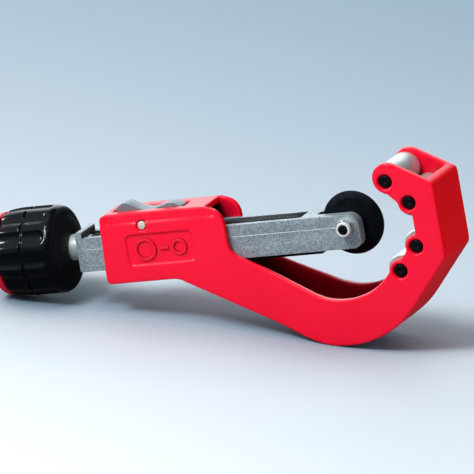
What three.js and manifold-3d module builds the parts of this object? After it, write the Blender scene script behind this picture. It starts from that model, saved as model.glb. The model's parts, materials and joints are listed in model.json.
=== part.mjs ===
// Telescopic pipe cutter: a C-shaped cast frame, a slide that carries the cutting wheel,
// a feed screw with a knob, and a rocker lever whose half nut lets go of the screw.
//
// Units are millimetres. The tool is drawn with X along the feed screw towards the jaw,
// Z up and Y across it. x = 0, z = 0 is the cutting wheel's axle at rest. A group then
// tips the tool nose-up so that it stands on its arch and its knob, on z = 0.

import * as THREE from 'three';
import { mergeVertices } from 'three/addons/utils/BufferGeometryUtils.js';
import Module from 'manifold-3d';

const wasm = await Module();
wasm.setup();

// ---------------------------------------------------------------- driving dimensions

const GAP = 0.3;                 // air between pieces that touch or slide
const FINE = THREE.MathUtils.degToRad(12);   // largest step round a rounded corner
const ARC_STEP = 3;              // largest step round the arm's two big arcs, in degrees
const FAR = 60;                  // comfortably outside the tool, for cutting solids

// Frame casting
const HOUSING = { rear: -129.2, front: -62.6, bottom: -17.7, top: 17, halfWidth: 13, wall: 3.3 };
const HOUSING_LEAN = 0.8;        // the rear edge leans: its foot is this much further back
const HEAD = { outer: 51.8, low: -17.8, high: 19.6, halfWidth: 18, wall: 4.4 };
const FLARE = { from: -48, to: -12 };        // the sides spread from housing to head width
const WEB = 4.5;                 // thickness of the channel's back
const ROOF = { front: -72.5, thickness: 3.5 };
const ARM_START = -92;           // where the underside turns down into the arm
const ARM_INNER_Z = -7;          // where the arm's inner edge meets the housing front
const OUTER_ARC = { x: -6, z: -8.3, r: 49.3 };
const INNER_ARC = { x: -4.5, z: -1, r: 33.5, end: -41 };
const NOSE_LOBE = { x: 28.3, z: 24, r: 7.7 };
const SADDLE_R = 5.7;            // casting round the lower three roller pins
const SADDLES = [                // the jaw's edge between those pins, from the top one down
  [27, 16.4], [31.2, 12], [38.2, 6], [38.2, -6], [31.4, -13.4], [28.6, -16.4],
];
const LEVER_SLOT = { rear: -124, front: -85.7, halfWidth: 4.6 };
const RIB = { rear: -125, front: -76, halfGap: 7.5, topZ: 8 };
const PANEL = { rear: -116.3, front: -80.5, bottom: -9.5, top: 6.5, depth: 0.5, corner: 3 };
const COIL_POCKET = { halfLength: 6, bottom: 12, height: 1.6 };   // room for the spring's coil

// Rollers, each on its own pin
const ROLLER_PLACES = [[27, 22.5], [37.4, 11], [37.4, -11], [27, -22.5]];
const ROLLER = { r: 7.5, chamfer: 0.6 };
const PIN = { r: 3.1, recess: 0.8, chamfer: 0.4 };

// Slide and what it carries
const SLIDE = { rear: -144.2, top: 6, bottom: -11, halfWidth: 9.3, nose: 6, toe: -7 };
const END_BLOCK = { front: -140.7, top: 9 };
const CHANNEL = { front: -25, halfWidth: 6, floor: -7 };
const WHEEL_SLOT = { rear: -17.3, halfWidth: 2.8 };
const STRIP = { rear: -118, front: -16, halfWidth: 7, top: -11.3, thickness: 1.4 };
const STRIP_SCREWS = [-104, -34];
const STRIP_SCREW = { headR: 2.6, shankR: 1.2, tip: -8 };
const COLLAR = { rear: -150.2, front: -144.5, r: 6.5, chamfer: 0.5 };
const BUSH = { wall: 1.5, front: -20.3 };
const WHEEL = { r: 16, webHalf: 1.1, hubR: 5, hubHalf: 1.6, bevelR: 12 };
const AXLE = { r: 2.4, acrossFlats: 8, headHeight: 3.4, nutHeight: 5.6, flatsTurn: 0.35 };
const WASHER = { r: 5.2, thickness: 0.8 };
const NUT_COLLAR = { r: 3.6, height: 2.2, seatGap: 1.1 };
const SPACER_R = 4.6;

// Feed screw and knob
const SCREW = { rear: -138.2, front: -27, r: 5.7, journalR: 3.9, endR: 3, frontR: 3, tip: -20.5 };
const SCREW_END = -170;
const SCREW_STEP = -156;         // the journal ends here, inside the knob
const THRUST_WASHER = { r: 6.3, thickness: 1 };
const KNOB = { front: -150, shoulder: -151.8, widest: -157, narrows: -172, rear: -183 };
const KNOB_R = { hub: 6.9, face: 17.3, widest: 22, rear: 20.8 };
const KNOB_GROOVE = { from: -168.5, to: -170.3, r: 20.6 };
const KNOB_RECESS = -171.5;      // floor of the hollow behind the grip
const FLUTES = { count: 12, r: 5, depth: 1.4, front: -155.5 };
const CAP = { rear: -188.5, rimRear: -185.7, rimR: 20.5, faceR: 16.5, spigotR: 14.7, spigot: 3 };
const KNOB_WASHER = { from: -172.8, to: -171.8, bore: 2, r: 7 };
const KNOB_SCREW = { rear: -176.6, seat: -173.1, headR: 3.6, shankR: 1.2, holeR: 1.5, grip: 10 };

// Quick-release lever and half nut
const PIVOT = { x: -106.5, z: 10.6, pinR: 2, recess: 0.6, neck: 8, neckWidth: 1.2, neckR: 1.5 };
const CLIP = { inner: 1.8, outer: 2.6, from: 8.3, to: 8.9, mouth: 1 };
const LEVER = { halfWidth: 4.2, rear: -122, front: -87.3 };
const HALF_NUT = {
  rear: -100, front: -88.8, halfWidth: 4.2, lugHalf: 2.3, bottom: 3, top: 9.5, lugTop: 13.6,
};
const RIVETS = [{ x: -97.5, far: 6.4 }, { x: -91.3, far: 4.1 }];   // far: where each one ends
const RIVET = { z: 10.9, r: 1.2, near: -4.1 };
const SPRING = { r: 3.1, wire: 0.4, from: 4.8, turns: 3, lean: 0.8, legShare: 0.12 };

// ---------------------------------------------------------------- materials

const finish = (color, roughness, metalness) =>
  new THREE.MeshStandardMaterial({ color, roughness, metalness });

const redPaint = finish(0xe4102c, 0.32, 0.1);
const castAlloy = finish(0x98a3a8, 0.45, 0.85);
const leverAlloy = finish(0x75868d, 0.5, 0.85);
const brightSteel = finish(0xc9cfd2, 0.28, 1);
const blackSteel = finish(0x17191c, 0.45, 0.7);
const wheelSteel = finish(0x0f1216, 0.38, 0.8);
const bronze = finish(0xa87a3e, 0.4, 1);
const blackPlastic = finish(0x0c0c0e, 0.22, 0);
const redPlastic = finish(0xd8122a, 0.3, 0);

// ---------------------------------------------------------------- shape helpers

// A closed three.js geometry as a manifold solid, with its faces pointing out.
function solidOf(geometry) {
  geometry.deleteAttribute('normal');
  geometry.deleteAttribute('uv');
  const merged = mergeVertices(geometry, 1e-4);
  const point = merged.attributes.position;
  const corners = [];
  for (let i = 0; i < merged.index.count; i += 3) {
    const [a, b, c] = [0, 1, 2].map((k) => merged.index.getX(i + k));
    if (a !== b && b !== c && c !== a) corners.push([a, b, c]);
  }
  const at = (i) => new THREE.Vector3().fromBufferAttribute(point, i);
  const volume = corners.reduce((sum, [a, b, c]) => sum + at(a).dot(at(b).cross(at(c))), 0);
  if (volume < 0) corners.forEach((corner) => corner.reverse());
  return new wasm.Manifold(new wasm.Mesh({
    numProp: 3,
    vertProperties: new Float32Array(point.array),
    triVerts: new Uint32Array(corners.flat()),
  }));
}

// A named three.js mesh from a finished manifold solid.
function named(name, solid, material) {
  const { vertProperties, triVerts } = solid.getMesh();
  const geometry = new THREE.BufferGeometry();
  geometry.setAttribute('position', new THREE.BufferAttribute(vertProperties, 3));
  geometry.setIndex(new THREE.BufferAttribute(triVerts, 1));
  geometry.computeVertexNormals();
  const mesh = new THREE.Mesh(geometry, material);
  mesh.name = name;
  return mesh;
}

// Outline points from corners [x, z, radius]; a corner with a radius becomes an arc.
function roundedOutline(corners) {
  const points = [];
  corners.forEach(([x, z, radius = 0], i) => {
    const here = new THREE.Vector2(x, z);
    if (radius === 0) {
      points.push(here);
      return;
    }
    const before = corners[(i + corners.length - 1) % corners.length];
    const after = corners[(i + 1) % corners.length];
    const back = new THREE.Vector2(before[0] - x, before[1] - z).normalize();
    const ahead = new THREE.Vector2(after[0] - x, after[1] - z).normalize();
    const half = Math.acos(back.dot(ahead)) / 2;
    const middle = back.clone().add(ahead).normalize();
    const centre = here.clone().addScaledVector(middle, radius / Math.sin(half));
    const start = here.clone().addScaledVector(back, radius / Math.tan(half)).sub(centre);
    const end = here.clone().addScaledVector(ahead, radius / Math.tan(half)).sub(centre);
    const sweep = Math.atan2(start.cross(end), start.dot(end));
    const steps = Math.ceil(Math.abs(sweep) / FINE);
    for (let k = 0; k <= steps; k += 1) {
      const turned = start.clone().rotateAround(new THREE.Vector2(), (sweep * k) / steps);
      points.push(turned.add(centre));
    }
  });
  return points;
}

// A sharp corner on a circle, at an angle in degrees.
function onCircle({ x, z }, r, degrees) {
  const angle = THREE.MathUtils.degToRad(degrees);
  return [x + r * Math.cos(angle), z + r * Math.sin(angle)];
}

// Sharp corners along a circle, from one angle to another.
function arcCorners(centre, r, from, to) {
  const steps = Math.ceil(Math.abs(to - from) / ARC_STEP);
  return Array.from({ length: steps + 1 }, (_, k) => onCircle(centre, r, from + ((to - from) * k) / steps));
}

// The angle, in degrees, at which a line from a point outside touches a circle.
function tangentAngle(circle, point, side) {
  const dx = point[0] - circle.x;
  const dz = point[1] - circle.z;
  const spread = Math.acos(circle.r / Math.hypot(dx, dz));
  return THREE.MathUtils.radToDeg(Math.atan2(dz, dx) + side * spread);
}

// An XZ outline given a thickness from y0 to y1.
function plate(corners, y0, y1) {
  const shape = new THREE.Shape(roundedOutline(corners));
  const geometry = new THREE.ExtrudeGeometry(shape, { depth: y1 - y0, bevelEnabled: false });
  return solidOf(geometry.rotateX(Math.PI / 2).translate(0, y1, 0));
}

// An XY outline given a height from z0 to z1.
function planPlate(corners, z0, z1) {
  const shape = new THREE.Shape(roundedOutline(corners));
  const geometry = new THREE.ExtrudeGeometry(shape, { depth: z1 - z0, bevelEnabled: false });
  return solidOf(geometry.translate(0, 0, z0));
}

function block(x0, x1, y0, y1, z0, z1) {
  const geometry = new THREE.BoxGeometry(x1 - x0, y1 - y0, z1 - z0);
  return solidOf(geometry.translate((x0 + x1) / 2, (y0 + y1) / 2, (z0 + z1) / 2));
}

// A turned piece about a line along Y; the profile is [radius, y] points.
function turnedAlongY(profile, x, z, segments = 20) {
  const points = profile.map(([r, y]) => new THREE.Vector2(r, y));
  return solidOf(new THREE.LatheGeometry(points, segments).translate(x, 0, z));
}

// A turned piece about the screw's axis; the profile is [radius, x] points.
function turnedAlongX(profile, segments = 24) {
  const points = profile.map(([r, x]) => new THREE.Vector2(r, x));
  return solidOf(new THREE.LatheGeometry(points, segments).rotateZ(-Math.PI / 2));
}

const rod = (r, from, to) => [[0, from], [r, from], [r, to], [0, to]];
const chamferedRod = (r, from, to, c) =>
  [[0, from], [r - c, from], [r, from + c], [r, to - c], [r - c, to], [0, to]];
const tube = (inner, outer, from, to) =>
  [[inner, from], [outer, from], [outer, to], [inner, to], [inner, from]];

// ---------------------------------------------------------------- frame casting

// The tool's width seen from above: housing width, flare, head width.
function planOutline(housingHalf, headHalf) {
  const side = [[HOUSING.rear - 20, housingHalf]];
  const steps = 8;
  for (let k = 0; k <= steps; k += 1) {
    const t = k / steps;
    const blend = THREE.MathUtils.smoothstep(t, 0, 1);
    const x = THREE.MathUtils.lerp(FLARE.from, FLARE.to, t);
    side.push([x, THREE.MathUtils.lerp(housingHalf, headHalf, blend)]);
  }
  side.push([HEAD.outer + 20, headHalf]);
  const mirrored = side.map(([x, y]) => [x, -y]);
  return [...mirrored, ...side.reverse()];
}

// The casting's side view without the lobes round the pins.
function sideOutline() {
  const armStart = [ARM_START, HOUSING.bottom, 8];
  const headLow = [HEAD.outer, HEAD.low, 5];
  const armInner = [HOUSING.front, ARM_INNER_Z, 8];
  const outerFrom = tangentAngle(OUTER_ARC, armStart, 1);
  const outerTo = tangentAngle(OUTER_ARC, headLow, -1);
  const innerTo = tangentAngle(INNER_ARC, armInner, 1);
  const topTangent = tangentAngle(NOSE_LOBE, [HEAD.outer, HEAD.high], 1);
  const lobeTangent = onCircle(NOSE_LOBE, NOSE_LOBE.r, topTangent);
  return [
    [HOUSING.rear - HOUSING_LEAN, HOUSING.bottom, 2.5],
    armStart,
    ...arcCorners(OUTER_ARC, OUTER_ARC.r, outerFrom, outerTo),
    headLow,
    [HEAD.outer, HEAD.high, 3.5],
    lobeTangent,
    [NOSE_LOBE.x, NOSE_LOBE.z],
    ...SADDLES,
    ROLLER_PLACES[3],
    ...arcCorners(INNER_ARC, INNER_ARC.r, INNER_ARC.end, innerTo),
    armInner,
    [HOUSING.front, HOUSING.top, 10],
    [HOUSING.rear + HOUSING_LEAN, HOUSING.top, 2.5],
  ];
}

// The room between the two side plates: everything inside the channel's back.
function cavityOutline() {
  const outerFrom = tangentAngle(OUTER_ARC, [ARM_START, HOUSING.bottom], 1);
  const outerTo = tangentAngle(OUTER_ARC, [HEAD.outer, HEAD.low], -1);
  const armTurn = THREE.MathUtils.degToRad(-90 - outerFrom);
  const headTurn = THREE.MathUtils.degToRad(-outerTo);
  return [
    [HOUSING.rear - 10, HOUSING.bottom + WEB],
    [ARM_START + WEB * Math.tan(armTurn / 2), HOUSING.bottom + WEB],
    ...arcCorners(OUTER_ARC, OUTER_ARC.r - WEB, outerFrom, outerTo),
    [HEAD.outer - WEB, HEAD.low + WEB * Math.tan(headTurn / 2)],
    [HEAD.outer - WEB, FAR],
    [ROOF.front, FAR],
    [ROOF.front, HOUSING.top - ROOF.thickness],
    [HOUSING.rear - 10, HOUSING.top - ROOF.thickness],
  ];
}

// Ribs inside the housing that hold the slide from above and below.
function guideRibs() {
  const inner = HOUSING.halfWidth - HOUSING.wall;
  const low = HOUSING.bottom + WEB;
  const ribs = [-1, 1].flatMap((side) => {
    const [y0, y1] = side < 0 ? [-inner - 1, -RIB.halfGap] : [RIB.halfGap, inner + 1];
    return [
      block(RIB.rear, RIB.front, y0, y1, SLIDE.top + GAP, RIB.topZ),
      block(RIB.rear, RIB.front, y0, y1, low - 1, SLIDE.bottom - GAP),
    ];
  });
  return ribs.reduce((all, rib) => all.add(rib));
}

function frameCasting() {
  const y = HEAD.halfWidth + 1;
  let body = plate(sideOutline(), -y, y);
  const lobes = [
    turnedAlongY(rod(NOSE_LOBE.r, -y, y), NOSE_LOBE.x, NOSE_LOBE.z, 32),
    ...ROLLER_PLACES.slice(1).map(([x, z]) => turnedAlongY(rod(SADDLE_R, -y, y), x, z)),
  ];
  lobes.forEach((lobe) => { body = body.add(lobe); });
  body = body.intersect(planPlate(planOutline(HOUSING.halfWidth, HEAD.halfWidth), -FAR, FAR));
  const inner = planOutline(HOUSING.halfWidth - HOUSING.wall, HEAD.halfWidth - HEAD.wall);
  const cavity = plate(cavityOutline(), -y, y).intersect(planPlate(inner, -FAR, FAR));
  body = body.subtract(cavity).add(guideRibs());

  ROLLER_PLACES.forEach(([x, z]) => {
    body = body.subtract(turnedAlongY(rod(PIN.r + GAP, -y, y), x, z));
  });
  body = body.subtract(turnedAlongY(rod(PIVOT.pinR + GAP, -y, y), PIVOT.x, PIVOT.z));
  const { rear, front, halfWidth: w } = LEVER_SLOT;
  const underRoof = HOUSING.top - ROOF.thickness;
  body = body.subtract(block(rear, front, -w, w, underRoof - 1, FAR));
  const { halfLength, bottom, height } = COIL_POCKET;
  const coilEnd = SPRING.from + SPRING.turns;
  const [pocketRear, pocketFront] = [PIVOT.x - halfLength, PIVOT.x + halfLength];
  body = body.subtract(block(pocketRear, pocketFront, w - 1, coilEnd, bottom, underRoof + height));
  return body.subtract(sidePanels());
}

// A shallow rounded panel pressed into each side of the housing.
function sidePanels() {
  const { rear, front, bottom, top, corner, depth } = PANEL;
  const corners = [
    [rear, bottom, corner],
    [front, bottom, corner],
    [front, top, corner],
    [rear, top, corner],
  ];
  const face = HOUSING.halfWidth;
  return plate(corners, -face - 1, -face + depth).add(plate(corners, face - depth, face + 1));
}

// ---------------------------------------------------------------- rollers and pins

function rollerSolid([x, z]) {
  const half = HEAD.halfWidth - HEAD.wall - GAP;
  const { r, chamfer } = ROLLER;
  const bore = PIN.r + GAP;
  return turnedAlongY([
    [bore, -half], [r - chamfer, -half], [r, -half + chamfer],
    [r, half - chamfer], [r - chamfer, half], [bore, half], [bore, -half],
  ], x, z);
}

function rollerPinSolid([x, z]) {
  const half = HEAD.halfWidth - PIN.recess;
  return turnedAlongY(chamferedRod(PIN.r, -half, half, PIN.chamfer), x, z);
}

// ---------------------------------------------------------------- slide

function slideOutline() {
  return [
    [SLIDE.rear, SLIDE.bottom, 1],
    [SLIDE.nose, SLIDE.bottom, 4],
    [SLIDE.nose, SLIDE.toe],
    [SLIDE.nose, 0],
    ...arcCorners({ x: 0, z: 0 }, SLIDE.nose, 10, 90),
    [END_BLOCK.front, SLIDE.top],
    [END_BLOCK.front, END_BLOCK.top, 0.8],
    [SLIDE.rear, END_BLOCK.top, 0.8],
  ];
}

function slideCasting() {
  const w = SLIDE.halfWidth;
  const { halfWidth: c, floor } = CHANNEL;
  let body = plate(slideOutline(), -w, w);
  body = body.subtract(block(END_BLOCK.front, CHANNEL.front, -c, c, floor, FAR));
  const s = WHEEL_SLOT.halfWidth;
  body = body.subtract(block(WHEEL_SLOT.rear, FAR, -s, s, -FAR, FAR));
  body = body.subtract(turnedAlongY(rod(AXLE.r + GAP, -FAR, FAR), 0, 0));
  body = body.subtract(turnedAlongX(rod(SCREW.journalR + GAP, SLIDE.rear - 1, END_BLOCK.front + 1)));
  const seatR = bushOuterR() + GAP;
  body = body.subtract(turnedAlongX(rod(seatR, CHANNEL.front - 1, BUSH.front + GAP)));
  STRIP_SCREWS.forEach((x) => {
    body = body.subtract(uprightRod(STRIP_SCREW.shankR + GAP, x, SLIDE.bottom - 1, floor + 1));
  });
  return body;
}

// A round bar that stands upright on the slide's centre line.
function uprightRod(r, x, z0, z1) {
  const bar = new THREE.CylinderGeometry(r, r, z1 - z0, 24).rotateX(Math.PI / 2);
  return solidOf(bar.translate(x, 0, (z0 + z1) / 2));
}

// The strip screwed under the slide, with a hole round each screw's head.
function slideStrip() {
  const { rear, front, halfWidth: w, top, thickness } = STRIP;
  let body = block(rear, front, -w, w, top - thickness, top);
  STRIP_SCREWS.forEach((x) => {
    body = body.subtract(uprightRod(STRIP_SCREW.headR + GAP, x, top - thickness - 1, top + 1));
  });
  return body;
}

function stripScrew(x) {
  const { headR, shankR, tip } = STRIP_SCREW;
  const bottom = STRIP.top - STRIP.thickness;
  const head = uprightRod(headR, x, bottom, STRIP.top - 0.2);
  return head.add(uprightRod(shankR, x, bottom, tip));
}

function rearCollar() {
  const { rear, front, r, chamfer: c } = COLLAR;
  const bore = SCREW.journalR + GAP;
  return turnedAlongX([
    [bore, rear], [r - c, rear], [r, rear + c], [r, front], [bore, front], [bore, rear],
  ]);
}

const bushOuterR = () => SCREW.frontR + GAP + BUSH.wall;

function frontBush() {
  return turnedAlongX(tube(SCREW.frontR + GAP, bushOuterR(), CHANNEL.front + 0.1, BUSH.front));
}

// ---------------------------------------------------------------- cutting wheel and axle

function cuttingWheel() {
  const { r, webHalf, hubR, hubHalf, bevelR } = WHEEL;
  const bore = AXLE.r + GAP;
  const half = [[bore, hubHalf], [hubR, hubHalf], [hubR + 0.6, webHalf], [bevelR, webHalf], [r, 0.06]];
  const other = half.map(([radius, y]) => [radius, -y]).reverse();
  return turnedAlongY([...half, ...other, half[0]], 0, 0, 40);
}

function wheelSpacer(side) {
  const inner = WHEEL.hubHalf + GAP;
  const outer = WHEEL_SLOT.halfWidth - 0.2;
  return turnedAlongY(tube(AXLE.r + GAP, SPACER_R, side * inner, side * outer), 0, 0);
}

function hexPrism(acrossFlats, y0, y1) {
  const radius = acrossFlats / Math.sqrt(3);
  const geometry = new THREE.CylinderGeometry(radius, radius, y1 - y0, 6);
  return solidOf(geometry.rotateY(AXLE.flatsTurn).translate(0, (y0 + y1) / 2, 0));
}

// A hexagon-headed bolt: head on the far side, thread end out of the near side.
function axleBolt() {
  const face = SLIDE.halfWidth + GAP;
  const shank = turnedAlongY(rod(AXLE.r, -face - AXLE.nutHeight - 0.6, face + 1), 0, 0);
  return shank.add(hexPrism(AXLE.acrossFlats, face, face + AXLE.headHeight));
}

function washerSolid() {
  const face = SLIDE.halfWidth + 0.1;
  return turnedAlongY(tube(AXLE.r + GAP, WASHER.r, -face - WASHER.thickness, -face), 0, 0);
}

// A hexagon lock nut with a round collar over its insert.
function axleNut() {
  const seat = -SLIDE.halfWidth - NUT_COLLAR.seatGap;
  const collar = turnedAlongY(rod(NUT_COLLAR.r, seat - AXLE.nutHeight + 0.6, seat - 1), 0, 0);
  const body = hexPrism(AXLE.acrossFlats, seat - AXLE.nutHeight + NUT_COLLAR.height, seat).add(collar);
  return body.subtract(turnedAlongY(rod(AXLE.r + GAP, -FAR, 0), 0, 0));
}

// ---------------------------------------------------------------- feed screw and knob

function feedScrew() {
  const { rear, front, r, journalR, endR, frontR, tip } = SCREW;
  const spindle = turnedAlongX([
    [0, SCREW_END], [endR, SCREW_END], [endR, SCREW_STEP], [journalR, SCREW_STEP],
    [journalR, rear], [r - 1, rear], [r, rear + 1], [r, front - 1], [r - 1, front],
    [frontR, front], [frontR, tip], [0, tip],
  ]);
  const { holeR, grip } = KNOB_SCREW;
  return spindle.subtract(turnedAlongX(rod(holeR, SCREW_END - 1, SCREW_END + grip + 2), 20));
}

// Where the knob's thrust washer ends and the floor of its front recess begins.
const thrustRear = COLLAR.rear - GAP - THRUST_WASHER.thickness;

function innerThrustWasher() {
  const { r } = THRUST_WASHER;
  return turnedAlongX(tube(SCREW.journalR + GAP, r - 0.7, END_BLOCK.front + GAP, SCREW.rear - GAP));
}

function outerThrustWasher() {
  return turnedAlongX(tube(SCREW.journalR + GAP, THRUST_WASHER.r, thrustRear, COLLAR.rear - GAP));
}

// A slightly domed front face, a fluted barrel with a ring groove, a hollow behind.
function knobBody() {
  const { front, shoulder, widest, narrows, rear } = KNOB;
  const { hub, face, widest: r, rear: rearR } = KNOB_R;
  const steps = 4;
  const corner = Array.from({ length: steps + 1 }, (_, k) => {
    const angle = (Math.PI / 2) * (k / steps);
    const reach = face + (r - face) * Math.sin(angle);
    return [reach, shoulder + (widest - shoulder) * (1 - Math.cos(angle))];
  });
  const bore = SCREW.journalR + GAP;
  const endBore = SCREW.endR + GAP;
  const washerFloor = thrustRear - GAP;
  const step = SCREW_STEP - GAP;
  const recessR = CAP.spigotR + GAP;
  let body = turnedAlongX([
    [bore, washerFloor], [hub, washerFloor], [hub, front], ...corner,
    [r, KNOB_GROOVE.from], [KNOB_GROOVE.r, KNOB_GROOVE.from],
    [KNOB_GROOVE.r, KNOB_GROOVE.to], [r, KNOB_GROOVE.to], [r, narrows],
    [rearR, rear], [recessR, rear], [recessR, KNOB_RECESS], [endBore, KNOB_RECESS],
    [endBore, step], [bore, step], [bore, washerFloor],
  ], 36);
  for (let k = 0; k < FLUTES.count; k += 1) {
    body = body.subtract(fluteCutter((k / FLUTES.count) * 2 * Math.PI));
  }
  return body;
}

// A round-ended bar that scoops one finger flute out of the knob's rim.
function fluteCutter(angle) {
  const { r, depth, front } = FLUTES;
  const length = front - r - KNOB.rear + 2 * r;
  const bar = new THREE.CapsuleGeometry(r, length, 2, 14).rotateZ(Math.PI / 2);
  const reach = KNOB_R.widest + r - depth;
  const middle = front - r - length / 2;
  return solidOf(bar.translate(middle, reach * Math.cos(angle), reach * Math.sin(angle)));
}

// The cap that closes the knob, with a spigot in the knob's recess.
function knobCap() {
  const { rear, rimRear, rimR, faceR, spigotR, spigot } = CAP;
  const joint = KNOB.rear - GAP;
  const edge = [(faceR + rimR) / 2 + 0.6, rear + 0.9];
  return turnedAlongX([
    [0, rear], [faceR, rear], edge, [rimR, rimRear], [rimR, joint], [spigotR, joint],
    [spigotR, joint + spigot], [spigotR - 2, joint + spigot], [spigotR - 2, joint], [0, joint],
  ], 36);
}

function knobWasher() {
  const { from, to, bore, r } = KNOB_WASHER;
  return turnedAlongX(tube(bore, r, from, to));
}

function knobScrew() {
  const { rear, seat, headR, shankR, grip } = KNOB_SCREW;
  return turnedAlongX([
    [0, rear], [headR - 1.2, rear], [headR, rear + 1.2], [headR, seat],
    [shankR, seat], [shankR, SCREW_END + grip], [0, SCREW_END + grip],
  ]);
}

// ---------------------------------------------------------------- quick release

// The rocker: a rear hump to press, a dip over the pin and a lower front hump.
function releaseLever() {
  const { halfWidth: w, rear, front } = LEVER;
  const under = HALF_NUT.top + GAP;
  const body = plate([
    [rear, 10], [rear, 18.2, 1.2], [-117.6, 21.8, 5], [-108.5, 16.9, 12], [-103, 16.4, 10],
    [-92.6, 19.4, 6], [front, 16.6, 1], [front, under, 1], [-101, under], [-102.6, 8.2],
    [PIVOT.x, 6.2, 2.5], [-110.6, 8.2], [-112.5, 10],
  ], -w, w);
  const { rear: nutRear, front: nutFront, lugHalf, lugTop } = HALF_NUT;
  const lugRoom = lugHalf + GAP;
  return body
    .subtract(block(nutRear - GAP, nutFront + GAP, -lugRoom, lugRoom, 0, lugTop + GAP))
    .subtract(turnedAlongY(rod(PIVOT.pinR + GAP, -FAR, FAR), PIVOT.x, PIVOT.z))
    .subtract(rivetHoles());
}

function rivetHoles() {
  const hole = rod(RIVET.r + GAP, -FAR, FAR);
  const holes = RIVETS.map(({ x }) => turnedAlongY(hole, x, RIVET.z, 20));
  return holes[0].add(holes[1]);
}

// A block with a trough that fits the screw, and a lug between the lever's cheeks.
function halfNut() {
  const { rear, front, halfWidth: w, lugHalf, bottom, top, lugTop } = HALF_NUT;
  return block(rear, front, -w, w, bottom, top)
    .add(block(rear, front, -lugHalf, lugHalf, bottom, lugTop))
    .subtract(turnedAlongX(rod(SCREW.r + GAP, rear - 1, front + 1), 32))
    .subtract(rivetHoles());
}

// Flush with the lever, but for the rear one's far end, where the spring's leg rests.
function rivetSolid({ x, far }) {
  return turnedAlongY(rod(RIVET.r, RIVET.near, far), x, RIVET.z, 20);
}

function releasePin() {
  const { x, z, pinR, recess, neck, neckWidth, neckR } = PIVOT;
  const half = HOUSING.halfWidth - recess;
  const pin = turnedAlongY(chamferedRod(pinR, -half, half, 0.3), x, z);
  return pin.subtract(turnedAlongY(tube(neckR, pinR + 1, neck, neck + neckWidth), x, z));
}

// A split ring in the pin's neck, beside the spring.
function pinClip() {
  const { inner, outer, from, to, mouth } = CLIP;
  const ring = turnedAlongY(tube(inner, outer, from, to), PIVOT.x, PIVOT.z, 24);
  return ring.subtract(block(PIVOT.x - mouth, PIVOT.x + mouth, 0, FAR, -FAR, PIVOT.z));
}

// Torsion spring: a leg under the roof, the coil on the pin, a leg over the rear rivet.
class SpringPath extends THREE.Curve {
  getPoint(t, target = new THREE.Vector3()) {
    const { r, from, turns, lean, legShare: leg } = SPRING;
    const coil = THREE.MathUtils.clamp((t - leg) / (1 - 2 * leg), 0, 1);
    const angle = Math.PI / 2 + coil * turns * 2 * Math.PI;
    const y = from + coil * turns * lean;
    target.set(PIVOT.x + r * Math.cos(angle), y, PIVOT.z + r * Math.sin(angle));
    if (t < leg) target.add(new THREE.Vector3(8.8, 0, -1).multiplyScalar(1 - t / leg));
    if (t > 1 - leg) target.add(new THREE.Vector3(-8, 0, -0.9).multiplyScalar(1 - (1 - t) / leg));
    return target;
  }
}

function leverSpring() {
  const section = new THREE.Shape().absarc(0, 0, SPRING.wire, 0, 2 * Math.PI);
  const wire = { steps: 54, curveSegments: 3, bevelEnabled: false, extrudePath: new SpringPath() };
  return solidOf(new THREE.ExtrudeGeometry(section, wire));
}

// ---------------------------------------------------------------- assembly

const tool = new THREE.Group();

const frame = new THREE.Group();
frame.add(named('frame_casting', frameCasting(), redPaint));
ROLLER_PLACES.forEach((place, i) => {
  frame.add(named(`roller_pin_${i + 1}`, rollerPinSolid(place), blackSteel));
  frame.add(named(`roller_${i + 1}`, rollerSolid(place), brightSteel));
});
frame.add(named('release_pin', releasePin(), brightSteel));
frame.add(named('pin_clip', pinClip(), blackSteel));
frame.add(named('lever_spring', leverSpring(), brightSteel));
tool.add(frame);

const lever = new THREE.Group();
lever.add(named('release_lever', releaseLever(), leverAlloy));
lever.add(named('half_nut', halfNut(), bronze));
RIVETS.forEach((rivet, i) => {
  lever.add(named(`half_nut_rivet_${i + 1}`, rivetSolid(rivet), brightSteel));
});
tool.add(lever);

const slide = new THREE.Group();
slide.add(named('slide_casting', slideCasting(), castAlloy));
slide.add(named('slide_strip', slideStrip(), blackSteel));
STRIP_SCREWS.forEach((x, i) => slide.add(named(`strip_screw_${i + 1}`, stripScrew(x), blackSteel)));
slide.add(named('rear_collar', rearCollar(), brightSteel));
slide.add(named('front_bush', frontBush(), bronze));
slide.add(named('axle_bolt', axleBolt(), brightSteel));
slide.add(named('axle_washer', washerSolid(), brightSteel));
slide.add(named('axle_nut', axleNut(), brightSteel));
slide.add(named('cutting_wheel', cuttingWheel(), wheelSteel));
slide.add(named('wheel_spacer_near', wheelSpacer(-1), brightSteel));
slide.add(named('wheel_spacer_far', wheelSpacer(1), brightSteel));
tool.add(slide);

const feed = new THREE.Group();
feed.add(named('feed_screw', feedScrew(), blackSteel));
feed.add(named('inner_thrust_washer', innerThrustWasher(), brightSteel));
feed.add(named('outer_thrust_washer', outerThrustWasher(), brightSteel));
feed.add(named('knob_body', knobBody(), blackPlastic));
feed.add(named('knob_cap', knobCap(), redPlastic));
feed.add(named('knob_washer', knobWasher(), brightSteel));
feed.add(named('knob_screw', knobScrew(), brightSteel));
tool.add(feed);

// The floor touches the cap's rim and the arch: tip the tool by that line's slope.
function standTilt() {
  const dx = OUTER_ARC.x - CAP.rimRear;
  const dz = OUTER_ARC.z + CAP.rimR;
  return Math.asin(OUTER_ARC.r / Math.hypot(dx, dz)) - Math.atan2(dz, dx);
}

tool.rotation.y = -standTilt();
const standing = new THREE.Box3().setFromObject(tool, true);
const middle = standing.getCenter(new THREE.Vector3());
tool.position.set(-middle.x, -middle.y, -standing.min.z);

const pipeCutter = new THREE.Group();
pipeCutter.name = 'pipe_cutter';
pipeCutter.add(tool);

export default pipeCutter;
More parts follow.
